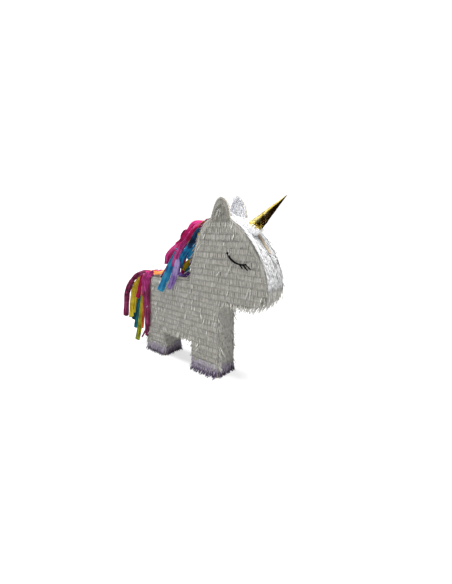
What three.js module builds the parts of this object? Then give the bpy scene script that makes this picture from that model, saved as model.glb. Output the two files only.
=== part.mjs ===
// A flat-sided unicorn party pinata: two card silhouettes held apart by card edge strips, covered with
// fringed tissue, with a foil horn, sleeping eyes, and crepe streamers for the mane and the tail.
// Millimetres, +Z up, the unicorn faces +X. The origin is the centre of the front foot's sole.
import * as THREE from "three";

// ---- Card box ----
const bodyWidth = 72; // over the two side panels
const panelThickness = 3.5; // corrugated card
const stripThickness = 2; // thinner card that bends round the outline
const clearance = 0.3; // between pieces that are glued or that touch
const cornerGap = 0.3; // each strip stops this short of its corner

// ---- Legs and body outline ----
const frontFootLength = 104;
const legGap = 130;
const rearFootLength = 92;
const legHeight = 90;
const rumpHeight = 264;
const withersHeight = 274;

// ---- Head outline, measured forward from the chest ----
const chinHeight = 228;
const throatRadius = 36;
const jawReach = 80;
const noseReach = 157;
const noseHeight = 284;
const crownHeight = 450;
const crownFrontReach = 44;
const crownLength = 64;
const earHeight = 51;
const snoutRise = 0.28; // how far up the face the snout stays upright
const browReach = 0.66; // how far forward the brow bulges
const browDrop = 0.27; // how far below the crown it does so

// ---- Tissue covers ----
const tissueThickness = 2.5;
const hoofFringeBottom = 2;
const hoofFringeHeight = 24;

// ---- Filling hatch, cut in the left side ----
const hatchLength = 92;
const hatchHeight = 62;
const hatchFromRump = 96; // rear edge of the hatch, ahead of the rump
const hatchBelowBack = 38; // hinge crease, below the rump's top
const hatchCut = 0.6; // width of the knife cut round the flap
const hatchTissueDrop = 4; // its own tissue starts this far below the crease

// ---- Hanging point ----
const stringHoleRadius = 2.5;
const stringHoleSpacing = 24;
const hangerPlateLength = 50;
const hangerPlateWidth = 46;
const hangerPlateThickness = 3;

// ---- Horn ----
const hornLength = 116;
const hornBaseRadius = 19;
const hornWall = 1;
const hornPlace = 0.76; // share of the way up the face
const hornLean = 8; // degrees that it leans forward from square to the face

// ---- Eyes ----
const eyeThickness = 1;
const eyeLineHalfWidth = 2.8;
const lashTipHalfWidth = 1.1;

// ---- Crepe streamers ----
const streamerWidth = 13; // of the narrow ones that fall over a side
const streamerThickness = 1.6;
const streamerSteps = 14;
const wideStreamerWidth = 22;
const laneCount = 5; // strips side by side across the body
const laneGap = 1;

// ---- Places that follow from the sizes above ----
const chest = frontFootLength / 2;
const heel = -frontFootLength / 2;
const hock = heel - legGap;
const rump = hock - rearFootLength;
const jaw = chest + jawReach;
const nose = chest + noseReach;
const crownFront = chest + crownFrontReach;
const crownRear = crownFront - crownLength;
const hoofTop = hoofFringeBottom + hoofFringeHeight;
const sideFace = bodyWidth / 2;
const panelInside = sideFace - panelThickness;
const stripHalfWidth = panelInside - clearance;
const tissueInner = clearance;
const tissueOuter = clearance + tissueThickness;
const sideTissueFace = sideFace + tissueOuter;
const lanePitch = (bodyWidth - 2 * laneGap) / laneCount;
const laneWidth = lanePitch - laneGap;

const card = new THREE.MeshStandardMaterial({ color: 0xb79a72, roughness: 0.9, metalness: 0 });
const whiteTissue = new THREE.MeshStandardMaterial({ color: 0xe4e3dc, roughness: 0.85, metalness: 0 });
const lilacTissue = new THREE.MeshStandardMaterial({ color: 0xa895b8, roughness: 0.85, metalness: 0 });
const goldFoil = new THREE.MeshStandardMaterial({ color: 0xd9a92e, roughness: 0.2, metalness: 1 });
const blackCard = new THREE.MeshStandardMaterial({ color: 0x0b0b0c, roughness: 0.7, metalness: 0 });
const crepe = (colour) => new THREE.MeshStandardMaterial({ color: colour, roughness: 0.8, metalness: 0 });

const at = (x, z) => new THREE.Vector2(x, z);

// ---- The outline, anticlockwise from the rear of the rear foot, in named runs ----
function curvedRun(curve, steps) {
  return curve.getSpacedPoints(steps);
}

const throatArc = new THREE.EllipseCurve(
  chest + throatRadius,
  chinHeight - throatRadius,
  throatRadius,
  throatRadius,
  Math.PI,
  Math.PI / 2,
  true,
);
const muzzleCurve = new THREE.CubicBezierCurve(
  at(jaw, chinHeight),
  at(jaw + (nose - jaw) * 0.52, chinHeight + 1),
  at(nose, chinHeight + (noseHeight - chinHeight) * 0.4),
  at(nose, noseHeight),
);
const faceCurve = new THREE.CubicBezierCurve(
  at(nose, noseHeight),
  at(nose, noseHeight + (crownHeight - noseHeight) * snoutRise),
  at(crownFront + (nose - crownFront) * browReach, crownHeight - (crownHeight - noseHeight) * browDrop),
  at(crownFront, crownHeight),
);
const napeCurve = new THREE.CubicBezierCurve(
  at(crownRear, crownHeight),
  at(crownRear - (crownRear - heel) * 0.55, crownHeight - 10),
  at(heel + 8, withersHeight + (crownHeight - withersHeight) * 0.32),
  at(heel, withersHeight),
);
// One ear: up its front edge to the rounded tip, and down its rear edge.
const earTip = at((crownFront + crownRear) / 2 + 2, crownHeight + earHeight);
const earFrontEdge = new THREE.CubicBezierCurve(
  at(crownFront, crownHeight),
  at(crownFront - crownLength * 0.06, crownHeight + earHeight * 0.55),
  at(earTip.x + crownLength * 0.28, earTip.y),
  earTip,
);
const earRearEdge = new THREE.CubicBezierCurve(
  earTip,
  at(earTip.x - crownLength * 0.25, earTip.y),
  at(crownRear + crownLength * 0.16, crownHeight + earHeight * 0.5),
  at(crownRear, crownHeight),
);

const runs = [
  ["rearSole", [at(rump, 0), at(hock, 0)]],
  ["rearHoofFront", [at(hock, 0), at(hock, hoofTop)]],
  ["rearLegFront", [at(hock, hoofTop), at(hock, legHeight)]],
  ["belly", [at(hock, legHeight), at(heel, legHeight)]],
  ["frontLegRear", [at(heel, legHeight), at(heel, hoofTop)]],
  ["frontHoofRear", [at(heel, hoofTop), at(heel, 0)]],
  ["frontSole", [at(heel, 0), at(chest, 0)]],
  ["frontHoofFront", [at(chest, 0), at(chest, hoofTop)]],
  ["chest", [at(chest, hoofTop), ...curvedRun(throatArc, 6)]],
  ["chin", [at(chest + throatRadius, chinHeight), ...curvedRun(muzzleCurve, 8)]],
  ["face", curvedRun(faceCurve, 12)],
  ["crown", [at(crownFront, crownHeight), at(crownRear, crownHeight)]],
  ["nape", curvedRun(napeCurve, 10)],
  ["back", [at(heel, withersHeight), at(rump, rumpHeight)]],
  ["rumpFace", [at(rump, rumpHeight), at(rump, hoofTop)]],
  ["rearHoofRear", [at(rump, hoofTop), at(rump, 0)]],
];

// The runs joined into one ring, without the points that two runs share.
const ring = [];
const startOf = {};
for (const [name, points] of runs) {
  startOf[name] = ring.length;
  ring.push(...points.slice(0, -1));
}
const endOf = Object.fromEntries(runs.map(([name, points]) => [name, startOf[name] + points.length - 1]));

// The ring moved outwards by a distance (inwards if negative), each corner mitred.
function offsetRing(distance) {
  return ring.map((point, i) => {
    const before = ring[(i + ring.length - 1) % ring.length];
    const after = ring[(i + 1) % ring.length];
    const into = point.clone().sub(before).normalize();
    const out = after.clone().sub(point).normalize();
    const normalIn = at(into.y, -into.x);
    const normalOut = at(out.y, -out.x);
    const miter = normalIn.clone().add(normalOut).divideScalar(1 + normalIn.dot(normalOut));
    return point.clone().addScaledVector(miter, distance);
  });
}

// The part of an offset ring from the start of one run to the end of another, with both ends pulled in.
function offsetRun(from, to, distance) {
  const moved = offsetRing(distance);
  const indices = [];
  for (let i = startOf[from]; i <= endOf[to]; i++) indices.push(i % ring.length);
  const points = indices.map((i) => moved[i].clone());
  const pullIn = (end, ringEnd, ringNext) => {
    const along = ringNext.clone().sub(ringEnd).normalize();
    end.addScaledVector(along, cornerGap);
  };
  pullIn(points[0], ring[indices[0]], ring[indices[1]]);
  pullIn(points.at(-1), ring[indices.at(-1)], ring[indices.at(-2)]);
  return points;
}

// A flat shape in the side view, made solid between two places across the width.
function acrossWidth(name, shape, yFrom, yTo, material) {
  const geometry = new THREE.ExtrudeGeometry(shape, {
    depth: yTo - yFrom,
    bevelEnabled: false,
    curveSegments: 8,
  });
  const mesh = new THREE.Mesh(geometry, material);
  mesh.name = name;
  mesh.rotation.x = Math.PI / 2;
  mesh.position.y = yTo;
  return mesh;
}

// A flat shape in the top view, made solid upwards from a height.
function upFrom(name, shape, zFrom, thickness, material) {
  const geometry = new THREE.ExtrudeGeometry(shape, {
    depth: thickness,
    bevelEnabled: false,
    curveSegments: 5,
  });
  const mesh = new THREE.Mesh(geometry, material);
  mesh.name = name;
  mesh.position.z = zFrom;
  return mesh;
}

function withoutRepeats(points) {
  const same = (a, b) => a.distanceTo(b) < 0.01;
  return points.filter((p, i) => !same(p, points[(i + points.length - 1) % points.length]));
}

function rectangle(PathClass, x0, z0, x1, z1) {
  const path = new PathClass();
  path.moveTo(x0, z0);
  path.lineTo(x1, z0);
  path.lineTo(x1, z1);
  path.lineTo(x0, z1);
  path.closePath();
  return path;
}

// ---- Side panels: the whole silhouette with its ear ----
const earPoints = [...curvedRun(earFrontEdge, 6), ...curvedRun(earRearEdge, 6).slice(1)];

function silhouette(lowest) {
  const points = ring.slice();
  points.splice(startOf.crown, 1, ...earPoints.slice(0, -1));
  return withoutRepeats(points.map((p) => at(p.x, Math.max(p.y, lowest))));
}

const hatchRear = rump + hatchFromRump;
const hatchFront = hatchRear + hatchLength;
const hatchTop = rumpHeight - hatchBelowBack;
const hatchBottom = hatchTop - hatchHeight;

function hatchHole() {
  return rectangle(
    THREE.Path,
    hatchRear - hatchCut,
    hatchBottom - hatchCut,
    hatchFront + hatchCut,
    hatchTop + hatchCut,
  );
}

function sidePanels() {
  const right = new THREE.Shape(silhouette(0));
  const left = new THREE.Shape(silhouette(0));
  left.holes.push(hatchHole());
  return [
    acrossWidth("side_panel_right", right, -sideFace, -panelInside, card),
    acrossWidth("side_panel_left", left, panelInside, sideFace, card),
  ];
}

function sideTissue() {
  const lowest = hoofTop + clearance;
  const right = new THREE.Shape(silhouette(lowest));
  const left = new THREE.Shape(silhouette(lowest));
  left.holes.push(hatchHole());
  const inner = sideFace + tissueInner;
  return [
    acrossWidth("tissue_side_right", right, -sideTissueFace, -inner, whiteTissue),
    acrossWidth("tissue_side_left", left, inner, sideTissueFace, whiteTissue),
  ];
}

// ---- Edge strips between the panels, and the tissue over them ----
function bandShape(from, to, near, far) {
  return new THREE.Shape([...offsetRun(from, to, far), ...offsetRun(from, to, near).reverse()]);
}

function edgeStrip(name, from, to = from) {
  const shape = bandShape(from, to, -stripThickness, 0);
  return acrossWidth("edge_strip_" + name, shape, -stripHalfWidth, stripHalfWidth, card);
}

function bandTissue(name, run) {
  const shape = bandShape(run, run, tissueInner, tissueOuter);
  return acrossWidth("tissue_" + name, shape, -sideFace, sideFace, whiteTissue);
}

function edgeStrips() {
  return [
    edgeStrip("rear_sole", "rearSole"),
    edgeStrip("rear_leg_front", "rearHoofFront", "rearLegFront"),
    edgeStrip("belly", "belly"),
    edgeStrip("front_leg_rear", "frontLegRear", "frontHoofRear"),
    edgeStrip("front_sole", "frontSole"),
    edgeStrip("chest", "frontHoofFront", "chest"),
    edgeStrip("chin", "chin"),
    edgeStrip("face", "face"),
    edgeStrip("nape", "nape"),
    edgeStrip("back", "back"),
    edgeStrip("rump", "rumpFace", "rearHoofRear"),
  ];
}

function bandTissues() {
  return [
    bandTissue("rear_leg_front", "rearLegFront"),
    bandTissue("belly", "belly"),
    bandTissue("front_leg_rear", "frontLegRear"),
    bandTissue("chest", "chest"),
    bandTissue("chin", "chin"),
    bandTissue("face", "face"),
    bandTissue("nape", "nape"),
    bandTissue("back", "back"),
    bandTissue("rump", "rumpFace"),
  ];
}

// ---- Crown, with the two holes for a hanging string, and the card plate that spreads its pull ----
const crownMiddle = (crownFront + crownRear) / 2;

function plateWithStringHoles(x0, x1, halfWidth) {
  const shape = rectangle(THREE.Shape, x0, -halfWidth, x1, halfWidth);
  for (const side of [-1, 1]) {
    const hole = new THREE.Path();
    hole.absarc(crownMiddle, (side * stringHoleSpacing) / 2, stringHoleRadius, 0, 2 * Math.PI);
    shape.holes.push(hole);
  }
  return shape;
}

function crown() {
  const inset = stripThickness + clearance;
  const strip = plateWithStringHoles(crownRear + inset, crownFront - inset, stripHalfWidth);
  const tissue = plateWithStringHoles(crownRear + cornerGap, crownFront - cornerGap, stripHalfWidth);
  const hanger = plateWithStringHoles(
    crownMiddle - hangerPlateLength / 2,
    crownMiddle + hangerPlateLength / 2,
    hangerPlateWidth / 2,
  );
  const stripBottom = crownHeight - stripThickness;
  return [
    upFrom("edge_strip_crown", strip, stripBottom, stripThickness, card),
    upFrom("tissue_crown", tissue, crownHeight + tissueInner, tissueThickness, whiteTissue),
    upFrom(
      "hanger_plate",
      hanger,
      stripBottom - clearance - hangerPlateThickness,
      hangerPlateThickness,
      card,
    ),
  ];
}

// ---- Tissue on the ears' inner faces, above the crown ----
function earLinings() {
  const lowest = crownHeight + tissueOuter + clearance;
  const points = withoutRepeats(earPoints.map((p) => at(p.x, Math.max(p.y, lowest))));
  const thickness = tissueThickness / 2;
  const outer = panelInside - clearance;
  return [
    acrossWidth("ear_lining_right", new THREE.Shape(points), -outer, -outer + thickness, whiteTissue),
    acrossWidth("ear_lining_left", new THREE.Shape(points), outer - thickness, outer, whiteTissue),
  ];
}

// ---- Lilac fringe, a closed loop round the foot of each leg ----
function hoofFringe(name, x0, x1) {
  const loop = (PathClass, distance) =>
    rectangle(PathClass, x0 - distance, -sideFace - distance, x1 + distance, sideFace + distance);
  const shape = loop(THREE.Shape, tissueOuter);
  shape.holes.push(loop(THREE.Path, tissueInner));
  return upFrom(name, shape, hoofFringeBottom, hoofFringeHeight, lilacTissue);
}

// ---- Filling hatch: a card flap with its own tissue, creased along its top ----
function hatch() {
  const flap = rectangle(THREE.Shape, hatchRear, hatchBottom, hatchFront, hatchTop);
  const cover = rectangle(THREE.Shape, hatchRear, hatchBottom, hatchFront, hatchTop - hatchTissueDrop);
  const inner = sideFace + tissueInner;
  return [
    acrossWidth("hatch_flap", flap, panelInside, sideFace, card),
    acrossWidth("hatch_tissue", cover, inner, sideTissueFace, whiteTissue),
  ];
}

// ---- Horn: a rolled card cone in a gold foil wrap, both open at the base ----
function coneShell(name, innerRadius, wall, material) {
  const slope = hornLength / hornBaseRadius;
  const outerRadius = innerRadius + wall;
  const profile = [
    at(0, innerRadius * slope),
    at(innerRadius, 0),
    at(outerRadius, 0),
    at(0, outerRadius * slope),
  ];
  const mesh = new THREE.Mesh(new THREE.LatheGeometry(profile, 24), material);
  mesh.name = name;
  return mesh;
}

function horn() {
  const seat = faceCurve.getPointAt(hornPlace);
  const along = faceCurve.getTangentAt(hornPlace);
  const normal = at(along.y, -along.x);
  const lean = THREE.MathUtils.degToRad(hornLean);
  // Leaning tips the front of the base towards the face, so it stands off by that much more.
  const stand = tissueOuter + 2 * clearance + hornBaseRadius * Math.sin(lean);
  const group = new THREE.Group();
  group.position.set(seat.x + normal.x * stand, 0, seat.y + normal.y * stand);
  const rise = Math.atan2(normal.y, normal.x) - lean;
  // The cone is turned on its side about Y after standing up about X.
  group.rotation.set(0, Math.PI / 2 - rise, 0);
  const upright = new THREE.Group();
  upright.rotation.x = Math.PI / 2;
  const coreRadius = hornBaseRadius - 2 * hornWall - clearance;
  upright.add(coneShell("horn_core", coreRadius, hornWall, card));
  upright.add(coneShell("horn_foil", coreRadius + hornWall + clearance, hornWall, goldFoil));
  group.add(upright);
  return group;
}

// ---- Sleeping eyes: a hanging curve with three lashes on its front end ----
function eyeShape() {
  const line = new THREE.CubicBezierCurve(
    at(chest + 36, 367),
    at(chest + 46, 346),
    at(chest + 68, 334),
    at(chest + 97, 341),
  );
  const lashes = [
    { place: 0.74, tip: at(chest + 86, 329) },
    { place: 0.87, tip: at(chest + 101, 326) },
    { place: 1, tip: at(chest + 111, 329) },
  ];
  const edge = (u, side) => {
    const along = line.getTangentAt(u);
    const half = eyeLineHalfWidth * (0.6 + 0.4 * Math.sin(Math.PI * Math.min(1, u + 0.25)));
    return line.getPointAt(u).add(at(-along.y, along.x).multiplyScalar(side * half));
  };
  const points = [];
  const steps = 12;
  for (let i = 0; i <= steps; i++) points.push(edge(i / steps, 1));
  const lashHalf = 0.045; // half a lash's width at its root, as a share of the line
  for (const { place, tip } of lashes.toReversed()) {
    points.push(edge(Math.min(1, place + lashHalf), -1));
    points.push(tip.clone().add(at(lashTipHalfWidth, 0.4)), tip.clone().add(at(-lashTipHalfWidth, -0.4)));
    points.push(edge(place - lashHalf, -1));
  }
  for (let u = lashes[0].place - 0.12; u > 0; u -= 0.1) points.push(edge(u, -1));
  return new THREE.Shape(points);
}

function eyes() {
  const inner = sideTissueFace + clearance;
  const outer = inner + eyeThickness;
  return [
    acrossWidth("eye_right", eyeShape(), -outer, -inner, blackCard),
    acrossWidth("eye_left", eyeShape(), inner, outer, blackCard),
  ];
}

// ---- Crepe streamers: a flat strip along a smooth curve ----
// A strip in the side view's plane has its width across the body; one on a side panel lies flat on it.
function streamer(name, colour, points, { flatOnSide = false, width = laneWidth } = {}) {
  const path = new THREE.CatmullRomCurve3(
    points.map(([x, y, z]) => new THREE.Vector3(x, y, z)),
    false,
    "centripetal",
  );
  const across = flatOnSide ? streamerThickness : width;
  const deep = flatOnSide ? width : streamerThickness;
  const section = rectangle(THREE.Shape, -across / 2, -deep / 2, across / 2, deep / 2);
  const geometry = new THREE.ExtrudeGeometry(section, {
    steps: streamerSteps,
    extrudePath: path,
    bevelEnabled: false,
  });
  const mesh = new THREE.Mesh(geometry, crepe(colour));
  mesh.name = name;
  return mesh;
}

const lane = (n) => n * lanePitch;
const sideLane = -(sideTissueFace + eyeThickness + 2.4);

// Points behind the nape and over the back, from places on the outline.
function mane() {
  const behind = (drop, away) => {
    const point = napeCurve.getPointAt(drop);
    const along = napeCurve.getTangentAt(drop);
    return [point.x + along.y * away, point.y - along.x * away];
  };
  const inLane = (n, places) => places.map(([x, z]) => [x, lane(n), z]);
  const overBack = withersHeight + tissueOuter + 4;
  return [
    streamer("mane_pink", 0xec3f9a, inLane(-2, [
      behind(0.12, 6), behind(0.25, 16), behind(0.38, 34), behind(0.5, 42),
      [heel - 66, 369], [heel - 96, 348], [heel - 103, 318],
    ])),
    streamer("mane_magenta", 0xb32a86, inLane(-1, [
      behind(0.18, 6), behind(0.3, 20), behind(0.42, 40),
      [heel - 48, 372], [heel - 82, 340], [heel - 96, 300],
    ])),
    streamer("mane_red", 0xc81e48, inLane(0, [
      behind(0.1, 6), behind(0.26, 22), behind(0.4, 44),
      [heel - 40, 360], [heel - 66, 322], [heel - 72, overBack + 2],
    ])),
    streamer("mane_yellow", 0xd8c21a, inLane(1, [
      behind(0.3, 6), behind(0.42, 16), behind(0.55, 26),
      [heel - 30, 330], [heel - 44, overBack + 2],
    ])),
    streamer("mane_green", 0x3d9a52, inLane(2, [
      behind(0.36, 6), behind(0.5, 14), behind(0.64, 20),
      [heel - 26, 310], [heel - 34, overBack + 2],
    ])),
    streamer("mane_blue", 0x1f86c4, [
      [heel - 4, sideLane - 2, 372], [heel - 40, sideLane - 4, 346], [heel - 76, sideLane - 5, 306],
      [heel - 104, sideLane - 1, 266], [heel - 134, sideLane, 226],
    ], { flatOnSide: true, width: wideStreamerWidth }),
    streamer("mane_purple", 0x9a6fd0, [
      [heel + 4, sideLane - 7, 356], [heel - 22, sideLane - 8, 326], [heel - 46, sideLane - 7, 290],
      [heel - 62, sideLane - 1.5, 258], [heel - 78, sideLane, 234],
    ], { flatOnSide: true, width: streamerWidth }),
    streamer("back_streamer_orange", 0xe88a3c, inLane(-1.6, [
      [heel - 112, rumpHeight + tissueOuter + 9], [heel - 140, rumpHeight + tissueOuter + 7],
      [heel - 176, rumpHeight + tissueOuter + 5],
    ])),
  ];
}

// ---- Tail: a glued bundle on the rump, and streamers that hang from it and swing about its edge ----
const tailRootRear = rump + 2;
const tailRootLength = 30;
const tailRootThickness = 5;
const backSlope = Math.atan2(withersHeight - rumpHeight, heel - rump);
const tailRootBase = rumpHeight + tissueOuter + 2 * clearance;

function tailRoot() {
  const lift = tailRootLength * Math.tan(backSlope) + tailRootBase;
  const shape = new THREE.Shape([
    at(tailRootRear, tailRootBase),
    at(tailRootRear + tailRootLength, lift),
    at(tailRootRear + tailRootLength, lift + tailRootThickness * 0.4),
    at(tailRootRear + tailRootLength * 0.5, lift + tailRootThickness),
    at(tailRootRear, tailRootBase + tailRootThickness),
  ]);
  return acrossWidth("tail_root", shape, -sideFace + 1, sideFace - 1, crepe(0xe2429c));
}

// Places are given behind the rump and above the floor; a strip drifts sideways evenly down its length.
function tail() {
  const rootHeight = tailRootBase + tailRootThickness / 2;
  const start = [[-0.4, rootHeight], [-9, rootHeight - 1]];
  const inLane = (n, drift, places) => {
    const all = [...start, ...places];
    const sideways = (i) => lane(n) - drift * (i / (all.length - 1)) ** 2;
    return all.map(([back, height], i) => [rump + back, sideways(i), height]);
  };
  return [
    streamer("tail_magenta", 0xa63a80, inLane(-1, 31, [
      [-53, 262], [-93, 234], [-117, 186], [-122, 157], [-128, 97],
    ])),
    streamer("tail_yellow", 0xd6c41f, inLane(0, 20, [
      [-50, 244], [-88, 202], [-109, 166], [-120, 126], [-154, 82],
    ])),
    streamer("tail_orange", 0xd86a2c, inLane(1, 13, [
      [-64, 233], [-96, 192], [-116, 150], [-132, 101],
    ])),
    streamer("tail_teal", 0x1f8fae, inLane(2, 13, [
      [-60, 224], [-92, 190], [-113, 130], [-132, 54],
    ])),
    streamer("tail_green", 0xb6c22c, inLane(-2, 17, [
      [-17, 261], [-20, 228], [-22, 174], [-31, 101], [-51, 25],
    ])),
    streamer("tail_pink", 0xc2387c, [
      [rump + 34, sideLane, 262], [rump + 23, sideLane, 184], [rump + 10, sideLane, 110], [rump + 1, sideLane, 53],
    ], { flatOnSide: true, width: streamerWidth }),
  ];
}

const pinata = new THREE.Group();
pinata.name = "pinata";
pinata.add(
  ...sidePanels(),
  ...sideTissue(),
  ...edgeStrips(),
  ...bandTissues(),
  ...crown(),
  ...earLinings(),
  hoofFringe("hoof_fringe_front", heel, chest),
  hoofFringe("hoof_fringe_rear", rump, hock),
  ...hatch(),
  horn(),
  ...eyes(),
  ...mane(),
  tailRoot(),
  ...tail(),
);

export default pinata;
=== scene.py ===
import bpy
import math
import random
import numpy as np
from mathutils import Matrix, Vector


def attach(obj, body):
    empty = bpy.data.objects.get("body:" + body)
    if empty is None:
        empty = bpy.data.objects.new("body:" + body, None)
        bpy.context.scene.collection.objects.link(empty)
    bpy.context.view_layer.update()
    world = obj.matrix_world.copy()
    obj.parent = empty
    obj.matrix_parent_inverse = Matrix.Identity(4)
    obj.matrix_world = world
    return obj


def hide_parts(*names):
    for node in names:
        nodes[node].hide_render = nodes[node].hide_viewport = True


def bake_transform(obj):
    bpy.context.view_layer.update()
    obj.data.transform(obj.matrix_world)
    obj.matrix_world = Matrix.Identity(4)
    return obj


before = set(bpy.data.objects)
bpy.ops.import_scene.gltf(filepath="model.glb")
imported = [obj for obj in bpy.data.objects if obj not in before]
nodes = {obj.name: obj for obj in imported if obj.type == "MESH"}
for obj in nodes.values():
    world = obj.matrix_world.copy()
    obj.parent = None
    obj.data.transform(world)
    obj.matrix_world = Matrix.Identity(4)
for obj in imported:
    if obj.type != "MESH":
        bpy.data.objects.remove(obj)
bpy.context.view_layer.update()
mm = 0.001
random.seed(7)
dice = np.random.default_rng(11)
print("frame loaded:", len(nodes), "nodes")


def hexToLinear(code):
    parts = [int(code[i:i + 2], 16) / 255 for i in (0, 2, 4)]
    linear = [c / 12.92 if c <= 0.04045 else ((c + 0.055) / 1.055) ** 2.4 for c in parts]
    return (*linear, 1.0)


def setStops(elements, stops):
    while len(elements) < len(stops):
        elements.new(0.5)
    for element, (place, code) in zip(elements, stops):
        element.position = place
        element.color = hexToLinear(code)


def addNode(tree, kind, settings=None, links=None):
    node = tree.nodes.new("ShaderNode" + kind)
    for key, value in (settings or {}).items():
        if key == "stops":
            setStops(node.color_ramp.elements, value)
        elif isinstance(key, str) and hasattr(node, key):
            setattr(node, key, value)
        else:
            node.inputs[key].default_value = value
    for key, source in (links or {}).items():
        tree.links.new(source, node.inputs[key])
    return node


def perMetre(size):
    # The scale of a pattern whose features are this many millimetres across.
    return 1 / (size * mm)


def startMaterial(name, finish):
    material = bpy.data.materials.new(name)
    material.use_nodes = True
    tree = material.node_tree
    for key, value in finish.items():
        tree.nodes["Principled BSDF"].inputs[key].default_value = value
    return material, tree, addNode(tree, "TexCoord").outputs["Object"]


def finishMaterial(material, colour, height, strength, depth):
    # The relief's depth is in millimetres.
    tree = material.node_tree
    shader = tree.nodes["Principled BSDF"]
    relief = addNode(tree, "Bump", {"Strength": strength, "Distance": depth * mm}, {"Height": height})
    tree.links.new(colour, shader.inputs["Base Color"])
    tree.links.new(relief.outputs["Normal"], shader.inputs["Normal"])
    return material


def placeObject(name, data):
    thing = bpy.data.objects.new(name, data)
    bpy.context.scene.collection.objects.link(thing)
    return thing


def fixPiece(piece, body, node=None):
    if node:
        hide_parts(node)
    if body:
        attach(piece, body)


outlineSizes = {
    "halfBox": 36.0, "frontFoot": 104.0, "legGap": 130.0, "rearFoot": 92.0, "legHeight": 90.0,
    "rumpHeight": 264.0, "withersHeight": 274.0, "chinHeight": 228.0, "throatRadius": 36.0,
    "jawReach": 80.0, "noseReach": 157.0, "noseHeight": 284.0, "crownHeight": 450.0,
    "crownReach": 44.0, "crownLength": 64.0, "earHeight": 51.0,
    "snoutRise": 0.28, "browReach": 0.66, "browDrop": 0.27,
}
chest = outlineSizes["frontFoot"] / 2
heel = -chest
hock = heel - outlineSizes["legGap"]
rump = hock - outlineSizes["rearFoot"]
crownFront = chest + outlineSizes["crownReach"]
crownRear = crownFront - outlineSizes["crownLength"]
crownHeight = outlineSizes["crownHeight"]
legHeight = outlineSizes["legHeight"]
withersHeight = outlineSizes["withersHeight"]
rumpHeight = outlineSizes["rumpHeight"]
halfBox = outlineSizes["halfBox"]
boardLift = 0.3  # the backing sheet that every row is glued on


def runLength(points):
    # Distance from the start to each point, for one run of points or a stack of runs.
    steps = np.linalg.norm(np.diff(points, axis=-2), axis=-1)
    return np.concatenate([np.zeros((*steps.shape[:-1], 1)), np.cumsum(steps, axis=-1)], axis=-1)


def resample(points, along, wanted):
    return np.stack([np.interp(wanted, along, column) for column in points.T], axis=1)


def bezier(points, steps):
    a, b, c, d = [np.array(p, float) for p in points]
    t = np.linspace(0, 1, 60)[:, None]
    fine = a * (1 - t) ** 3 + 3 * b * t * (1 - t) ** 2 + 3 * c * t * t * (1 - t) + d * t ** 3
    along = runLength(fine)
    return resample(fine, along, np.linspace(0, along[-1], steps + 1))


def outlineRuns():
    s = outlineSizes
    chin, radius = s["chinHeight"], s["throatRadius"]
    jaw, nose, noseZ = chest + s["jawReach"], chest + s["noseReach"], s["noseHeight"]
    turn = np.linspace(math.pi, math.pi / 2, 9)
    throat = np.stack([chest + radius + radius * np.cos(turn), chin - radius + radius * np.sin(turn)], axis=1)
    muzzle = bezier([(jaw, chin), (jaw + (nose - jaw) * 0.52, chin + 1),
                     (nose, chin + (noseZ - chin) * 0.4), (nose, noseZ)], 20)
    rise = crownHeight - noseZ
    face = bezier([(nose, noseZ), (nose, noseZ + rise * s["snoutRise"]),
                   (crownFront + (nose - crownFront) * s["browReach"], crownHeight - rise * s["browDrop"]),
                   (crownFront, crownHeight)], 30)
    fall = crownHeight - withersHeight
    nape = bezier([(crownRear, crownHeight), (crownRear - (crownRear - heel) * 0.55, crownHeight - 10),
                   (heel + 8, withersHeight + fall * 0.32), (heel, withersHeight)], 26)
    tip = np.array([(crownFront + crownRear) / 2 + 2, crownHeight + s["earHeight"]])
    earFront = bezier([(crownFront, crownHeight), (crownFront - 3.84, crownHeight + 28),
                       (tip[0] + 18, tip[1]), tip], 14)
    earRear = bezier([tip, (tip[0] - 16, tip[1]), (crownRear + 10, crownHeight + 25.5),
                      (crownRear, crownHeight)], 14)
    return {"throat": throat, "muzzle": muzzle, "face": face, "nape": nape,
            "ear": np.concatenate([earFront, earRear[1:]])}


runs = outlineRuns()
silhouette = np.concatenate([
    [(rump, 0), (hock, 0), (hock, legHeight), (heel, legHeight), (heel, 0), (chest, 0)],
    runs["throat"], runs["muzzle"], runs["face"][1:], runs["ear"][1:], runs["nape"][1:], [(rump, rumpHeight)],
])


def stripFaces(rows, columns):
    # Quads round one strip that has thickness: both faces and the four edges.
    def front(i, j):
        return i * columns + j

    def back(i, j):
        return (rows + i) * columns + j

    last = columns - 1
    end = rows - 1
    faces = []
    for i in range(end):
        for j in range(last):
            faces.append((front(i, j), front(i + 1, j), front(i + 1, j + 1), front(i, j + 1)))
            faces.append((back(i, j), back(i, j + 1), back(i + 1, j + 1), back(i + 1, j)))
        faces.append((front(i, 0), back(i, 0), back(i + 1, 0), front(i + 1, 0)))
        faces.append((front(i, last), front(i + 1, last), back(i + 1, last), back(i, last)))
    for j in range(last):
        faces.append((front(0, j), front(0, j + 1), back(0, j + 1), back(0, j)))
        faces.append((front(end, j), back(end, j), back(end, j + 1), front(end, j + 1)))
    return np.array(faces)


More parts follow.
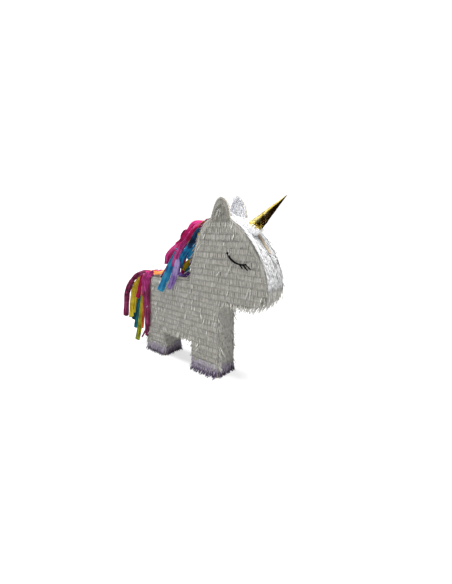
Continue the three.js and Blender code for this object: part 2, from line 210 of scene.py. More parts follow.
def stripsMesh(name, batches, material):
    # A batch is (grid, thickness, tone). A grid is strips x steps along x steps across x 3, in millimetres.
    verts, faces, alongs, tones = [], [], [], []
    base = 0
    for grid, thickness, tone in batches:
        count, rows, columns, _ = grid.shape
        normal = np.cross(np.gradient(grid, axis=1), np.gradient(grid, axis=2))
        normal /= np.linalg.norm(normal, axis=3, keepdims=True) + 1e-9
        skin = normal * thickness / 2
        verts.append(np.stack([grid + skin, grid - skin], axis=1).reshape(-1, 3))
        offsets = base + np.arange(count) * (2 * rows * columns)
        faces.append((stripFaces(rows, columns)[None] + offsets[:, None, None]).reshape(-1, 4))
        steps = runLength(grid[:, :, columns // 2])
        alongs.append(np.broadcast_to(steps[:, None, :, None], (count, 2, rows, columns)).ravel())
        shades = np.asarray(tone, float)
        if shades.ndim == 1:
            shades = shades[:, None, None]
        shades = np.broadcast_to(shades, (count, rows, columns))
        tones.append(np.stack([shades, shades], axis=1).ravel())
        base += count * 2 * rows * columns
    faces = np.concatenate(faces)
    mesh = bpy.data.meshes.new(name)
    mesh.vertices.add(base)
    mesh.vertices.foreach_set("co", (np.concatenate(verts) * mm).astype(np.float32).ravel())
    mesh.loops.add(faces.size)
    mesh.loops.foreach_set("vertex_index", faces.astype(np.int32).ravel())
    mesh.polygons.add(len(faces))
    mesh.polygons.foreach_set("loop_start", np.arange(0, faces.size, 4, dtype=np.int32))
    mesh.update(calc_edges=True)
    mesh.validate()
    for key, values in (("along", alongs), ("tone", tones)):
        attribute = mesh.attributes.new(key, "FLOAT", "POINT")
        attribute.data.foreach_set("value", np.concatenate(values).astype(np.float32))
    mesh.materials.append(material)
    return placeObject(name, mesh)


# Painted shadow under the tips of the row above: the stretch along each tab over which it fades out, its
# depth and its colour.
rowShade = {"from": 5.2, "to": 8.6, "depth": 0.46, "colour": "66645b"}
# Painted shade at the hoof tabs' tips: the stretch along each tab over which it comes in.
paintedTipShade = {"from": 13.0, "to": 22.0}


def tissuePaper(name, shadowCode, bodyCode, lightCode, tipShadeCode=None, shadowedUnderRows=True, island=0.33, glow=0.0):
    # Thin machine-glazed tissue, cut and crimped by hand: matt, every tab a slightly different white.
    # The glow is painted light: a faint bluish emission, set on the lighter copies of this tissue.
    material, tree, place = startMaterial(name, {
        "Roughness": 0.82, "Specular IOR Level": 0.25, "Sheen Weight": 0.15,
        "Emission Color": hexToLinear("dfe6f4"), "Emission Strength": glow,
    })
    perTab = addNode(tree, "NewGeometry").outputs["Random Per Island"]
    shade = addNode(tree, "Attribute", {"attribute_name": "tone"}).outputs["Fac"]
    along = addNode(tree, "Attribute", {"attribute_name": "along"}).outputs["Fac"]
    fibre = addNode(tree, "TexNoise", {"Scale": perMetre(2.38), "Detail": 3.0}, {"Vector": place})
    cloud = addNode(tree, "TexNoise", {"Scale": perMetre(71.4), "Detail": 2.0}, {"Vector": place})
    for source, share in ((perTab, island), (fibre.outputs["Fac"], 0.3), (cloud.outputs["Fac"], 0.25)):
        added = addNode(tree, "Math", {"operation": "MULTIPLY_ADD", 1: share}, {0: source, 2: shade})
        shade = added.outputs[0]
    spread = addNode(tree, "Math", {"operation": "MULTIPLY", 1: 0.9}, {0: shade})
    colour = addNode(tree, "ValToRGB", {"stops": [(0.05, shadowCode), (0.45, bodyCode), (1.0, lightCode)]},
                     {"Fac": spread.outputs[0]}).outputs["Color"]
    layers = []
    if shadowedUnderRows:
        # Painted shadow: just under the tips of the row above, each tab is darkened for about 3 mm, where
        # those tips shade it.
        layers.append((rowShade["from"], rowShade["to"], rowShade["depth"], 0.0, rowShade["colour"]))
    if tipShadeCode:
        # Painted shade: the tips are darkened, fading upwards, for the dark bottom edge of the hooves.
        layers.append((paintedTipShade["from"], paintedTipShade["to"], 0.0, 1.0, tipShadeCode))
    for start, end, first, last, code in layers:
        share = addNode(tree, "MapRange", {
            "From Min": start, "From Max": end, "To Min": first, "To Max": last}, {"Value": along})
        colour = addNode(tree, "Mix", {"data_type": "RGBA", 7: hexToLinear(code)},
                         {0: share.outputs[0], 6: colour}).outputs[2]
    crimp = addNode(tree, "TexNoise", {"Scale": perMetre(1.11), "Detail": 2.0}, {"Vector": place})
    return finishMaterial(material, colour, crimp.outputs["Fac"], 0.35, 0.3)


crepeRib = 1.6  # wider than real crepe's ribs, about 1 mm, so that they show


def crepePaper(name, deepCode, bodyCode, lightCode):
    # Dyed crepe streamer: cross ribs that catch light, matt, paler where it is stretched.
    material, tree, place = startMaterial(name, {
        "Roughness": 0.74, "Specular IOR Level": 0.2, "Sheen Weight": 0.06, "Sheen Roughness": 0.5,
    })
    along = addNode(tree, "Attribute", {"attribute_name": "along"}).outputs["Fac"]
    tone = addNode(tree, "Attribute", {"attribute_name": "tone"}).outputs["Fac"]
    wobble = addNode(tree, "TexNoise", {"Scale": perMetre(6.25), "Detail": 2.0},
                     {"Vector": place}).outputs["Fac"]
    patches = addNode(tree, "TexNoise", {"Scale": perMetre(26.3), "Detail": 3.0},
                      {"Vector": place}).outputs["Fac"]
    wander = addNode(tree, "Math", {"operation": "MULTIPLY_ADD", 1: crepeRib}, {0: wobble, 2: along})
    ribs = addNode(tree, "Math", {"operation": "MULTIPLY", 1: 2 * math.pi / crepeRib}, {0: wander.outputs[0]})
    wave = addNode(tree, "Math", {"operation": "SINE"}, {0: ribs.outputs[0]}).outputs[0]
    # Painted light and shade: the colour is a little lighter on each rib's crest and darker in its trough, on
    # top of the bump.
    ribTone = addNode(tree, "Math", {"operation": "MULTIPLY_ADD", 1: 0.06}, {0: wave, 2: patches})
    shade = addNode(tree, "Math", {"operation": "ADD"}, {0: ribTone.outputs[0], 1: tone})
    colour = addNode(tree, "ValToRGB", {"stops": [(0.25, deepCode), (0.5, bodyCode), (0.8, lightCode)]},
                     {"Fac": shade.outputs[0]})
    return finishMaterial(material, colour.outputs["Color"], wave, 0.5, 0.4)


def greyboard(name):
    # Uncoated recycled board: pale warm grey, speckled with darker fibres, with a faint machine direction.
    material, tree, place = startMaterial(name, {"Roughness": 0.88, "Specular IOR Level": 0.3})
    specks = addNode(tree, "TexNoise", {"Scale": perMetre(1.43), "Detail": 4.0}, {"Vector": place})
    colour = addNode(tree, "ValToRGB", {"stops": [(0.3, "a39a8b"), (0.5, "c9c3b6"), (0.75, "d9d5ca")]},
                     {"Fac": specks.outputs["Fac"]})
    flow = (perMetre(16.7), perMetre(16.7), perMetre(0.667))
    stretch = addNode(tree, "Mapping", {"Scale": flow}, {"Vector": place})
    flutes = addNode(tree, "TexNoise", {"Scale": 1.0, "Detail": 2.0}, {"Vector": stretch.outputs["Vector"]})
    return finishMaterial(material, colour.outputs["Color"], flutes.outputs["Fac"], 0.3, 0.4)


def goldFoilCard(name):
    # Metallised foil on paper, rolled and scrunched by hand: mirror gold broken up by sharp small creases.
    material, tree, place = startMaterial(name, {"Roughness": 0.2, "Metallic": 1.0})
    patches = addNode(tree, "TexNoise", {"Scale": perMetre(16.7), "Detail": 3.0},
                      {"Vector": place}).outputs["Fac"]
    colour = addNode(tree, "ValToRGB", {"stops": [(0.3, "d2a93c"), (0.5, "efd468"), (0.72, "fbeea6")]},
                     {"Fac": patches})
    rough = addNode(tree, "MapRange", {"From Min": 0.3, "From Max": 0.7, "To Min": 0.12, "To Max": 0.34},
                    {"Value": patches})
    tree.links.new(rough.outputs[0], tree.nodes["Principled BSDF"].inputs["Roughness"])
    creases = addNode(tree, "TexVoronoi", {"feature": "DISTANCE_TO_EDGE", "Scale": perMetre(5.88)},
                      {"Vector": place})
    return finishMaterial(material, colour.outputs["Color"], creases.outputs["Distance"], 0.55, 0.8)


def blackSugarPaper(name):
    # Soft black craft paper: matt, with a dusty bloom of paler fibres.
    material, tree, place = startMaterial(name, {"Roughness": 0.78, "Specular IOR Level": 0.3})
    dust = addNode(tree, "TexNoise", {"Scale": perMetre(2.0), "Detail": 3.0},
                   {"Vector": place}).outputs["Fac"]
    colour = addNode(tree, "ValToRGB", {"stops": [(0.3, "050506"), (0.6, "101013"), (0.85, "24242a")]},
                     {"Fac": dust})
    return finishMaterial(material, colour.outputs["Color"], dust, 0.2, 0.2)


whites = ("a9a79d", "cbc9c0", "e9e8e2")
whiteTissue = tissuePaper("whiteTissuePaper", *whites)
# Painted shade: the backing under the rows is a darker copy of the white tissue, for the shade in the gaps
# between tabs.
shadedBackingTissue = tissuePaper("shadedBackingTissuePaper", "a3a199", "bab8ae", "c9c7bf")
# Painted light: a lighter copy of the white tissue with a faint glow, for the face band.
brightTissue = tissuePaper("brightTissuePaper", "9e9e9c", "c4c4c3", "ebebec", shadowedUnderRows=False, glow=0.03)
# Painted light: a lighter, faintly glowing copy of the white tissue, for the ear linings.
fluffedTissue = tissuePaper("fluffedTissuePaper", "b9bbc0", "d4d5d8", "ededf0", shadowedUnderRows=False, island=0.5,
                            glow=0.08)
# The white tissue without the painted shadow under the rows.
unshadowedTissue = tissuePaper("unshadowedTissuePaper", *whites, shadowedUnderRows=False)
# Painted light: the lightest copy of the white tissue, with the strongest glow, for the crown and the fluff
# round the horn.
paintedLitTissue = tissuePaper("paintedLitTissuePaper", "e4e3e2", "f6f6f5", "ffffff", shadowedUnderRows=False, glow=0.16)
# Hoof tissue: lilac with painted shade at the tips, and a dark plum layer under it that stands in for the
# shade at the hoof's bottom edge.
lilacTissue = tissuePaper("lilacTissuePaper", "7b7189", "9f95a9", "c0b9c6", "483656", shadowedUnderRows=False)
plumTissue = tissuePaper("plumTissuePaper", "241a2e", "43324f", "675474", shadowedUnderRows=False)
tanTissue = tissuePaper("tanTissuePaper", "96816a", "c2b096", "ddd0bb", shadowedUnderRows=False)
cardboard = greyboard("greyboard")
goldFoil = goldFoilCard("goldFoilCard")
blackPaper = blackSugarPaper("blackSugarPaper")
crepe = {
    "pink": crepePaper("hotPinkCrepePaper", "b3125f", "ea2f92", "f57fc0"),
    "magenta": crepePaper("magentaCrepePaper", "7e1450", "b8307f", "d766ac"),
    "raspberry": crepePaper("raspberryCrepePaper", "541030", "93285c", "b85890"),
    "red": crepePaper("cerisePinkCrepePaper", "8c0636", "c60d58", "e33c80"),
    "purple": crepePaper("purpleCrepePaper", "5c2a86", "8f72c0", "b7a2dc"),
    "blue": crepePaper("blueCrepePaper", "0d4f80", "168ac4", "4bb4dc"),
    "navy": crepePaper("navyCrepePaper", "04152a", "0e3760", "1c5c8c"),
    "teal": crepePaper("tealCrepePaper", "0b4050", "157488", "3fa7b4"),
    "green": crepePaper("limeCrepePaper", "666c10", "a0a61c", "cbd04a"),
    "yellow": crepePaper("yellowCrepePaper", "8a6c06", "c8a60c", "ecd640"),
    "orange": crepePaper("orangeCrepePaper", "9a2e0c", "dc6420", "f5a25a"),
}
print("materials ready:", len(bpy.data.materials))


fringe = {
    "rowPitch": 16.0, "tabPitch": 2.7, "tabWidth": 2.42, "tabLength": 21.5, "lengthSpread": 2.1, "steps": 5,
    "paper": 0.22, "liftDegrees": 3.6, "liftSpread": 1.6, "tipCurl": 1.1, "strayShare": 0.02, "shortest": 3.5,
    "rootScatter": 0.7, "tabScatter": 0.35, "firstTab": 1.6, "edgeBand": 9.0, "darkEdge": 3.4, "mostRows": 64,
    "foot": 25.5, "hoofLine": 30.0, "chinLine": 150.0,
    "overhang": 8.0, "chinOverhang": 13.0, "bandOverhang": 5.0,
}
hatchArea = {"rear": rump + 96.0, "front": rump + 188.0, "bottom": 164.0, "top": 226.0, "drop": 4.0,
             "gap": 2.6}
eyeArea = {"rear": 84.0, "front": 166.0, "bottom": 322.0, "top": 390.0, "mostLift": 2.2}
tabSteps = np.linspace(0, 1, fringe["steps"])[None]
alongX = np.array((1.0, 0.0, 0.0))
alongY = np.array((0.0, 1.0, 0.0))


def tabShape(lengths, strays=True, lift=fringe["liftDegrees"]):
    # How far down, how far out and how far sideways each step of each tab lies.
    count = len(lengths)
    angle = np.radians(np.clip(dice.normal(lift, fringe["liftSpread"], count), 0.4, None))
    curl = dice.uniform(-0.4, 1.0, count) * fringe["tipCurl"]
    drift = dice.normal(0, 0.045, count)
    isStray = dice.random(count) < (fringe["strayShare"] if strays else 0)
    angle = np.where(isStray, np.radians(dice.uniform(12, 32, count)), angle)
    drift = np.where(isStray, dice.normal(0, 0.35, count), drift)
    down = lengths[:, None] * tabSteps * np.cos(angle)[:, None]
    out = 0.35 + lengths[:, None] * np.sin(angle)[:, None] * tabSteps ** 1.3
    out = out + curl[:, None] * np.clip(tabSteps - 0.55, 0, 1) ** 2 * 4
    # Painted light: stray tabs stand well out and get a lighter tone, for the light they catch.
    tone = np.where(isStray, 0.5, dice.normal(0.12, 0.05, count))
    return down, out, drift[:, None] * down, tone


def tabWidths(count, least=0.85, most=1.12):
    return fringe["tabWidth"] * dice.uniform(least, most, count)


def tabBatch(centre, across, widths, tone):
    # Flat tabs about their centre lines, a little narrower at the tip.
    half = widths[:, None, None] / 2 * (1 - 0.12 * tabSteps[:, :, None])
    return np.stack([centre - across * half, centre + across * half], axis=2), fringe["paper"], tone


def crossings(x):
    # The stretches of the silhouette that a vertical line at x runs through, lowest first.
    heights = []
    for (x0, z0), (x1, z1) in zip(silhouette, np.roll(silhouette, -1, axis=0)):
        if (x0 <= x) != (x1 <= x):
            heights.append(z0 + (z1 - z0) * (x - x0) / (x1 - x0))
    heights.sort()
    return [(heights[i], heights[i + 1]) for i in range(0, len(heights) - 1, 2)]


def sideRoots():
    # Root places of every tab on one side: rows a pitch apart, and one row along the top edge.
    pitch = fringe["rowPitch"]
    scatter = fringe["tabScatter"]
    roots = []
    x = rump + fringe["firstTab"]
    while x < runs["muzzle"][-1][0]:
        for low, high in crossings(x):
            low = max(low, fringe["foot"])
            if high - low < 4:
                continue
            heights = [high - 0.6]
            row = math.floor((high - 5) / pitch)
            while row * pitch > low + 5:
                wave = 1.1 * math.sin(x * 0.021 + row * 1.9) + 0.5 * math.sin(x * 0.06 + row)
                heights.append(row * pitch + wave)
                row -= 1
            for z in heights:
                place = x + random.uniform(-scatter, scatter)
                roots.append((place, z - random.uniform(0, fringe["rootScatter"]), low))
        x += fringe["tabPitch"]
    return roots


# Tabs that have come loose: top, bottom, and how far each stands off the tissue.
looseTabs = [
    ((103, 368), (94, 359), 4.4),
    ((62, 471), (53, 456), 3.4),
    ((66, 469), (62, 452), 3.0),
    ((57, 470), (57, 456), 2.8),
    ((100, 331), (88, 304), 4.0),
    ((84, 322), (92, 300), 3.6),
    ((160, 284), (149, 252), 4.6),
    ((164, 280), (160, 252), 3.8),
    ((104, 338), (92, 312), 3.6),
    ((46, 196), (36, 154), 4.8),
    ((28, 182), (24, 158), 4.0),
    ((50, 178), (42, 150), 4.2),
    ((-228, 128), (-240, 104), 4.0),
    ((-252, 92), (-244, 70), 4.0),
]


def looseTab(side, top, bottom, standOff):
    x, z = np.linspace(top, bottom, fringe["steps"]).T
    y = side * (halfBox + boardLift + standOff + 2.0 * tabSteps[0] ** 2)
    # Painted light: a loose tab gets a lighter tone, for the light it catches where it stands off.
    return tabBatch(np.stack([x, y, z], axis=1)[None], alongX, np.array([fringe["tabWidth"]]), 0.55)


def sideTabs(onlyHatch, skipHatch):
    # Each tab that one cover has: its root, its length, and whether it hangs past a lower edge.
    h = hatchArea
    kept = []
    for x, z, low in sideRoots():
        inside = h["rear"] < x < h["front"] and h["bottom"] < z <= h["top"] - h["drop"] + 1
        length = fringe["tabLength"] + random.uniform(-1, 1) * fringe["lengthSpread"]
        offFoot = low > fringe["hoofLine"]
        reach = fringe["chinOverhang"] if low > fringe["chinLine"] else fringe["overhang"]
        overhang = reach * random.uniform(0.2, 1.1) if offFoot else random.uniform(0, 8)
        pastEdge = length > z - low and offFoot
        length = min(length, z - low + overhang)
        if (onlyHatch or skipHatch) and onlyHatch != inside:
            continue
        if skipHatch and h["rear"] - 1 < x < h["front"] + 1 and z > h["top"] - h["drop"]:
            length = min(length, z - h["top"] - h["gap"])
        if length >= fringe["shortest"]:
            kept.append((x, z, length, pastEdge))
    return np.array(kept).T


def sideFringe(name, node, side, body="body", onlyHatch=False, skipHatch=False):
    x, z, lengths, pastEdge = sideTabs(onlyHatch, skipHatch)
    count = len(x)
    down, out, drift, tone = tabShape(lengths)
    # Tabs that hang past a lower edge have nothing behind them, and splay.
    out = out + (pastEdge * dice.uniform(-0.5, 5, count))[:, None] * tabSteps ** 1.5
    drift = drift + (pastEdge * dice.normal(0.6, 3.2, count))[:, None] * tabSteps ** 1.5
    e = eyeArea
    nearEye = (x > e["rear"]) & (x < e["front"]) & (z > e["bottom"]) & (z < e["top"])
    out = np.where(nearEye[:, None], np.minimum(out, e["mostLift"]), out)
    # Painted shade: the rows on the outer face of the ear, above the crown, are darker.
    tone = tone - 0.4 * (z > crownHeight)
    centre = np.stack([x[:, None] + drift, side * (halfBox + boardLift + out), z[:, None] - down], axis=2)
    across = alongX + alongY * side * dice.normal(0, 0.1, count)[:, None, None]
    batches = [tabBatch(centre, across, tabWidths(count), tone)]
    if not onlyHatch:
        batches += [looseTab(side, *spec) for spec in looseTabs]
    fixPiece(stripsMesh(name, batches, whiteTissue), body, node)


def hatchTopRow():
    # The row glued just under the crease has no row above, so its roots get no painted shadow.
    h = hatchArea
    x = np.arange(h["rear"] + fringe["firstTab"], h["front"] - 1, fringe["tabPitch"])
    down, out, drift, tone = tabShape(dice.uniform(17, 22, len(x)), strays=False)
    centre = np.stack([x[:, None] + drift, halfBox + boardLift + out, h["top"] - 2.0 - down], axis=2)
    piece = stripsMesh("hatchTopRow", [tabBatch(centre, alongX, tabWidths(len(x)), tone)], unshadowedTissue)
    fixPiece(piece, "hatch")


def backingSheet(name, node, inner, body, material):
    # The tissue that the rows are glued to: a thin sheet with the outline of its cover.
    mesh = nodes[node].data.copy()
    mesh.name = name
    toFace = Matrix.Translation((0, inner * mm, 0))
    mesh.transform(toFace @ Matrix.Diagonal((1, 0.14, 1, 1)) @ toFace.inverted())
    mesh.materials.clear()
    mesh.materials.append(material)
    fixPiece(placeObject(name, mesh), body)


class Path:
    # A run of the outline with its outward direction, measured from its upper end.
    def __init__(self, points, flip=1):
        self.points = np.array(points, float)
        self.length = runLength(self.points)
        self.total = self.length[-1]
        tangent = np.gradient(self.points, self.length, axis=0)
        self.tangent = tangent / np.linalg.norm(tangent, axis=1, keepdims=True)
        self.normal = np.stack([self.tangent[:, 1], -self.tangent[:, 0]], axis=1) * flip

    def at(self, u, out):
        inside = np.clip(u, 0, self.total)

        def pick(table, k):
            return np.interp(inside, self.length, table[:, k])

        return [pick(self.points, k) + pick(self.normal, k) * out + pick(self.tangent, k) * (u - inside)
                for k in (0, 1)]


def bandRoots(path, half, skip, longer, scatter):
    # Rows across a band: how far down the run, how far sideways, and how long each tab is.
    roots = []
    u = 0.8
    while u < path.total - 4:
        v = -half + fringe["firstTab"]
        while v < half - 1:
            length = fringe["tabLength"] + longer + random.uniform(-1, 1) * fringe["lengthSpread"]
            length = min(length, path.total - u + fringe["bandOverhang"] * random.uniform(0.3, 1.1))
            if skip is None or not skip(u, v):
                place = u + 0.7 * math.sin(v * 0.09 + u) + random.uniform(-scatter, scatter)
                aside = random.uniform(-fringe["tabScatter"], fringe["tabScatter"])
                roots.append((max(0.5, place), v + aside, length))
            v += fringe["tabPitch"]
        u += fringe["rowPitch"]
    return np.array(roots).T


def bandFringe(name, node, path, hang=0.0, half=halfBox + 0.8, skip=None, lift=fringe["liftDegrees"],
               longer=0.0, scatter=0.3, crease=None, whiter=0.0, flare=8.0, material=whiteTissue):
    u, v, lengths = bandRoots(path, half, skip, longer, scatter)
    count = len(u)
    down, out, drift, tone = tabShape(lengths, lift=lift)
    # The tabs along both edges of a band are brushed outwards and stand proud.
    # They clump: some rows stand well out at one edge, and others lie flat.
    rowClumps = dice.uniform(0.15, 1.0, (2, fringe["mostRows"]))
    clumps = rowClumps[(v > 0).astype(int), (u // fringe["rowPitch"]).astype(int)]
    atEdge = (np.abs(v) > half - fringe["edgeBand"]) & (dice.random(count) < 0.2 + 0.6 * clumps)
    proud = 1.5 + flare * clumps * dice.uniform(0.5, 1.1, count)
    out = out + (atEdge * proud)[:, None] * tabSteps ** 1.6
    drift = drift + (atEdge * np.sign(v) * dice.uniform(0, 5, count))[:, None] * tabSteps ** 1.3
    x, z = path.at(u[:, None] + down, boardLift + out)
    z = z - hang * dice.uniform(0.3, 1.2, count)[:, None] * tabSteps ** 1.6
    centre = np.stack([x, v[:, None] + drift, z], axis=2)
    # Tabs that lie in one line share a shade, which draws long creases down the band.
    tone = tone + 0.09 * np.sin(v * 1.3) * np.sin(v * 0.37 + 1)
    # Painted shade: tabs that lie flat along a band's edges are darker, in the corner where the band meets
    # the sides.
    tone = tone - 0.3 * ((np.abs(v) > half - fringe["darkEdge"]) & ~atEdge)
    # Painted light: the band gets lighter towards its upper end.
    tone = tone + whiter * (1 - u / path.total)
    if crease is not None:
        # Two widths of tissue meet here: a dull line, with the nearer width whiter.
        tone = tone + np.where(v < crease, 0.16, -0.04) - 0.5 * (np.abs(v - crease) < 2.2)
    # The backing strip under a band's rows has a darker tone: painted shade in the gaps between tabs.
    backX, backZ = path.at(np.linspace(0, path.total, 24), boardLift + 0.25)
    edge = np.full(24, half - 0.8)
    backing = np.stack([np.stack([backX, -edge, backZ], 1), np.stack([backX, edge, backZ], 1)], axis=1)[None]
    batches = [tabBatch(centre, alongY, tabWidths(count), tone), (backing, 0.3, -0.1)]
    fixPiece(stripsMesh(name, batches, material), "body", node)


hornSeat = {"place": 0.76, "leanDegrees": 8.0, "length": 116.0, "radius": 19.0, "coverGap": 3.4}
facePath = Path(runs["face"][::-1], flip=-1)
seatU = facePath.total * (1 - hornSeat["place"])


def underHorn(u, v):
    return math.hypot(u + 8 - seatU, v) < hornSeat["radius"] - 3


sideFringe("rightSideFringe", "tissue_side_right", -1)
sideFringe("leftSideFringe", "tissue_side_left", 1, skipHatch=True)
sideFringe("hatchFringe", "hatch_tissue", 1, body="hatch", onlyHatch=True)
hatchTopRow()
backingSheet("rightSideTissue", "tissue_side_right", -halfBox - 0.3, "body", shadedBackingTissue)
backingSheet("leftSideTissue", "tissue_side_left", halfBox + 0.3, "body", shadedBackingTissue)
backingSheet("hatchTissue", "hatch_tissue", halfBox + 0.3, "hatch", shadedBackingTissue)
backingSheet("rightEarTissue", "ear_lining_right", -halfBox + 3.3, "body", fluffedTissue)
backingSheet("leftEarTissue", "ear_lining_left", halfBox - 3.3, "body", fluffedTissue)
bandFringe("faceFringe", "tissue_face", facePath, skip=underHorn, lift=1.4, longer=12.0, scatter=8.0,
           crease=8.0, whiter=0.4, material=brightTissue)

seamSizes = {"start": 14.0, "length": 60.0, "left": 0.5, "right": 13.0, "lift": 4.2, "sway": 1.2,
             "narrowing": 2.8}


def foreheadSeam():
    # A narrow tan strip on the face band below the horn, along the line where two widths of tissue part.
    s = seamSizes
    u = seatU + s["start"] + np.linspace(0, s["length"], 24)
    x, z = facePath.at(u, s["lift"])
    sway = s["sway"] * np.sin(u / 9)
    narrowing = np.linspace(0, s["narrowing"], 24)
    left = np.stack([x, s["left"] + sway + narrowing, z], axis=1)
    right = np.stack([x, s["right"] + sway - narrowing, z], axis=1)
    grid = np.stack([left, right], axis=1)[None]
    fixPiece(stripsMesh("foreheadSeam", [(grid, fringe["paper"], 0.1)], tanTissue), "body")


foreheadSeam()
chinPoints = np.concatenate([runs["muzzle"][::-1], [runs["throat"][-1]]])
bandFringe("chinFringe", "tissue_chin", Path(chinPoints, flip=-1),
           hang=14.0, lift=8.0, scatter=4.0, flare=10.0)
chestPoints = np.concatenate([runs["throat"][::-1], [(chest, fringe["foot"])]])
bandFringe("chestFringe", "tissue_chest", Path(chestPoints, flip=-1), lift=4.5, scatter=4.5, flare=13.0)
# The plain bands: name, node, points from the upper end, which way is out, and how far the tabs hang.
plainBands = [
    ("frontLegRearFringe", "tissue_front_leg_rear", [(heel, legHeight), (heel, 60), (heel, fringe["foot"])],
     1, 0.0),
    ("rearLegFrontFringe", "tissue_rear_leg_front", [(hock, legHeight), (hock, 60), (hock, fringe["foot"])],
     -1, 0.0),
    ("bellyFringe", "tissue_belly", [(heel, legHeight), (-120, legHeight), (hock, legHeight)], -1, 6.0),
    ("rumpFringe", "tissue_rump", [(rump, rumpHeight), (rump, 140), (rump, fringe["foot"])], 1, 0.0),
    ("backFringe", "tissue_back",
     [(heel, withersHeight), (-160, (withersHeight + rumpHeight) / 2), (rump, rumpHeight)], 1, 0.0),
    ("napeFringe", "tissue_nape", runs["nape"], 1, 0.0),
]
for name, node, points, flip, hang in plainBands:
    bandFringe(name, node, Path(points, flip=flip), hang=hang)
crownPath = Path([(crownFront, crownHeight), (70, crownHeight), (crownRear, crownHeight)])
# Painted light: the crown is in the lightest, glowing copy of the tissue.
bandFringe("crownFringe", "tissue_crown", crownPath, half=30.5, lift=9.0, material=paintedLitTissue)
print("fringe laid")

earSizes = {"rowPitch": 8.0, "tabLength": 16.0, "liftDegrees": 10.0, "inset": 3.8, "edge": 9.0, "rise": 3.0}


def earLining(name, node, side, overflow):
    # Fluffed rows on the inner face of one ear, in a lighter copy of the body's tissue that faintly glows:
    # painted light.
    e = earSizes
    roots = []
    x = crownRear + 2
    while x < crownFront:
        for low, high in crossings(x):
            z = high - 0.5
            while z > crownHeight + e["rise"]:
                length = min(e["tabLength"] + random.uniform(-4, 4), z - crownHeight)
                roots.append((x + random.uniform(-0.6, 0.6), z, max(4, length), z > high - e["edge"]))
                z -= e["rowPitch"]
        x += fringe["tabPitch"] * 0.8
    x, z, lengths, nearEdge = np.array(roots).T
    count = len(x)
    down, out, drift, tone = tabShape(lengths, lift=e["liftDegrees"])
    drift = drift + dice.normal(0, 2.2, count)[:, None] * tabSteps ** 1.5
    out = out + dice.uniform(0, 3, count)[:, None] * tabSteps ** 2
    # The outermost tabs are brushed past the ear's edge, upwards and to both sides.
    middle = (crownFront + crownRear) / 2
    away = (x - middle) / (crownFront - middle)
    brushed = (nearEdge > 0) & (dice.random(count) < 0.75)
    over = brushed * overflow * dice.uniform(0.3, 1.1, count)
    drift = drift + (over * (away - 0.45 + dice.normal(0, 0.35, count)))[:, None] * tabSteps
    raised = down * 0.35 - (over * (1 - np.abs(away) ** 2))[:, None] * tabSteps
    down = np.where(brushed[:, None], raised, down)
    centre = np.stack([x[:, None] + drift, side * (halfBox - e["inset"] - out), z[:, None] - down], axis=2)
    # Painted light: the rows get whiter towards the crown, low between the ears where they shade each other.
    tone = tone + 0.7 * (1 - (z - crownHeight) / outlineSizes["earHeight"])
    piece = stripsMesh(name, [tabBatch(centre, alongX, tabWidths(count, most=1.3), tone)], fluffedTissue)
    fixPiece(piece, "body", node)


earLining("rightEarLining", "ear_lining_right", -1, overflow=3.0)
earLining("leftEarLining", "ear_lining_left", 1, overflow=14.0)

hoofSizes = {"cornerRadius": 3.0, "tabPitch": 3.2, "clearance": 0.6}
# Each row: height of its roots, tab length and spread, how far its tips splay, and the share of tabs it has.
hoofRows = {
    "lilac": [
        {"top": 40.0, "length": 17.0, "spread": 5.0, "lift": 2.2, "splay": 1.0, "share": 0.42, "tone": 0.3},
        {"top": 29.0, "length": 25.5, "spread": 4.5, "lift": 1.6, "splay": 7.0, "share": 1.0, "tone": 0.0},
    ],
    # Painted shade: the dark plum rows show between and below the lilac tips along the hoof's bottom edge.
    "plum": [
        {"top": 18.0, "length": 16.5, "spread": 4.0, "lift": 0.5, "splay": 7.5, "share": 1.0, "tone": 0.0},
        {"top": 14.0, "length": 13.0, "spread": 3.0, "lift": 3.0, "splay": 7.0, "share": 0.3, "tone": 0.1},
    ],
}


def loopPlaces(x0, x1, half, pitch):
    # Places round a foot with rounded corners: x, y and the outward direction.
    r = hoofSizes["cornerRadius"]
    corners = [(x1 - r, half - r, 0), (x0 + r, half - r, 90), (x0 + r, -half + r, 180),
               (x1 - r, -half + r, 270)]
    points = []
    for cx, cy, start in corners:
        for turn in np.radians(np.linspace(start, start + 90, 5)):
            points.append((cx + r * math.cos(turn), cy + r * math.sin(turn), math.cos(turn), math.sin(turn)))
    points = np.array(points + points[:1])
    along = runLength(points[:, :2])
    return resample(points, along, np.arange(0, along[-1], pitch))


def hoofRow(row, x0, x1, rightSplay):
    places = loopPlaces(x0 - boardLift, x1 + boardLift, halfBox + boardLift, hoofSizes["tabPitch"])
    places = places[dice.random(len(places)) < row["share"]]
    count = len(places)
    lengths = row["length"] + dice.uniform(-1, 0.3, count) * row["spread"]
    down, out, drift, tones = tabShape(lengths, strays=False)
    splays = row["splay"] * (1 + rightSplay * np.clip(-places[:, 3], 0, 1)) * dice.uniform(0.1, 1.1, count)
    out = out + row["lift"] + splays[:, None] * tabSteps ** 2.2
    drift = drift + dice.normal(0, 1.4, count)[:, None] * tabSteps ** 1.5
    outX, outY = places[:, 2, None], places[:, 3, None]
    x = places[:, 0, None] + outX * out - outY * drift
    y = places[:, 1, None] + outY * out + outX * drift
    z = np.maximum(row["top"] - down, hoofSizes["clearance"])
    across = alongY * outX[:, :, None] - alongX * outY[:, :, None]
    return tabBatch(np.stack([x, y, z], axis=2), across, tabWidths(count, most=1.2), tones + row["tone"])


def hoofFringe(name, node, x0, x1, rightSplay):
    upper = stripsMesh(name, [hoofRow(row, x0, x1, rightSplay) for row in hoofRows["lilac"]], lilacTissue)
    under = stripsMesh(name + "Under", [hoofRow(row, x0, x1, rightSplay) for row in hoofRows["plum"]],
                       plumTissue)
    fixPiece(upper, "body", node)
    fixPiece(under, "body")


